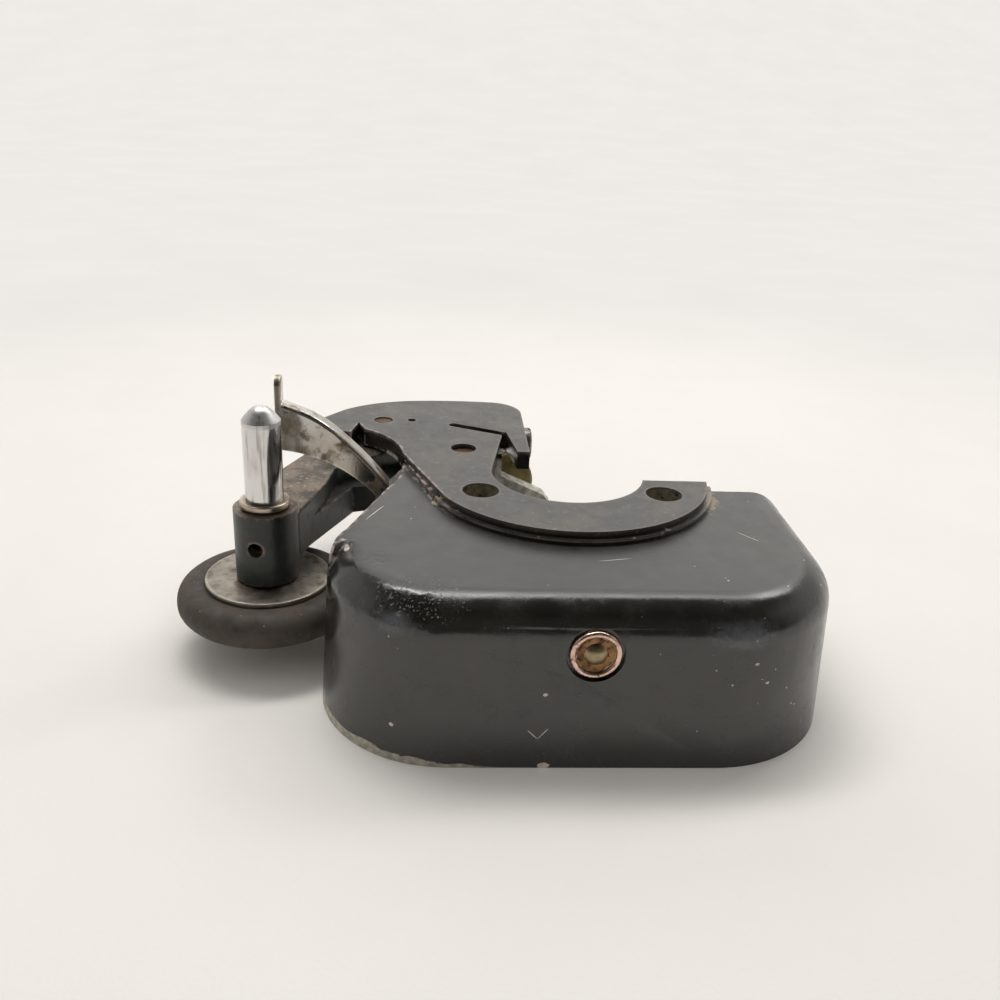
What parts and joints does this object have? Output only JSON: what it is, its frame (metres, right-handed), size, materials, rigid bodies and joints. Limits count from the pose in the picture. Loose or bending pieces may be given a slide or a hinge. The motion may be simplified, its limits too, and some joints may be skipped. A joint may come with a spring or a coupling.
{
  "type": "bobbin winder",
  "caption": "Sewing machine bobbin winder: a cast belt guard with a C-shaped mounting pad carries a swinging arm with spindle and rubber-tyred wheel, and a sheet stop latch.",
  "frame": {"origin": "midpoint between the two mounting screws on the machined face of the pad", "axes": "+X along the pair of mounting screws towards the closed end of the guard, +Y towards the arm pivots, +Z out of the pad towards the machine; the guard's open rim faces -Z"},
  "size_m": [0.1058, 0.0848, 0.0439],
  "materials": {
    "black_enamel": "gloss enamel, worn",
    "arm_enamel": "worn enamel",
    "bright_plate": "polished",
    "spindle_steel": "polished",
    "collar_metal": "worn",
    "disc_steel": "dull",
    "tyre_rubber": "matt",
    "bearing_bronze": "plain",
    "ferrule_brass": "tarnished",
    "release_metal": "tarnished",
    "dark_steel": "oiled"
  },
  "bodies": {
    "guard": {"guard_housing": "black_enamel", "stud_ferrule": "ferrule_brass", "guard_stud": "ferrule_brass", "stud_washer": "ferrule_brass", "arm_pivot": "dark_steel", "arm_thrust_washer": "dark_steel", "friction_leaf": "dark_steel", "spring_screw": "dark_steel", "side_screw": "dark_steel", "latch_pivot": "dark_steel", "latch_washer": "dark_steel"},
    "arm": {"winder_arm": "arm_enamel", "upper_bushing": "bearing_bronze", "lower_bushing": "bearing_bronze"},
    "spindle_wheel": {"spindle": "spindle_steel", "spindle_collar": "collar_metal", "upper_disc": "disc_steel", "wheel_hub": "disc_steel", "lower_disc": "disc_steel", "tyre": "tyre_rubber", "wheel_washer": "disc_steel", "wheel_nut": "disc_steel"},
    "latch": {"stop_latch": "bright_plate", "release_plate": "release_metal", "latch_rivets": "release_metal"}
  },
  "joints": [
    {"name": "arm_swing", "type": "hinge", "parent": "guard", "child": "arm", "pos_m": [-0.0335, 0.0345, -0.01], "axis": [0, 0, 1], "range_deg": [0, 6]},
    {"name": "spindle_spin", "type": "hinge", "parent": "arm", "child": "spindle_wheel", "pos_m": [-0.051, -0.0025, -0.01], "axis": [0, 0, 1], "continuous": true},
    {"name": "latch_swing", "type": "hinge", "parent": "guard", "child": "latch", "pos_m": [-0.018, 0.0198, -0.0057], "axis": [0, 0, 1], "range_deg": [-5, 2]}
  ]
}
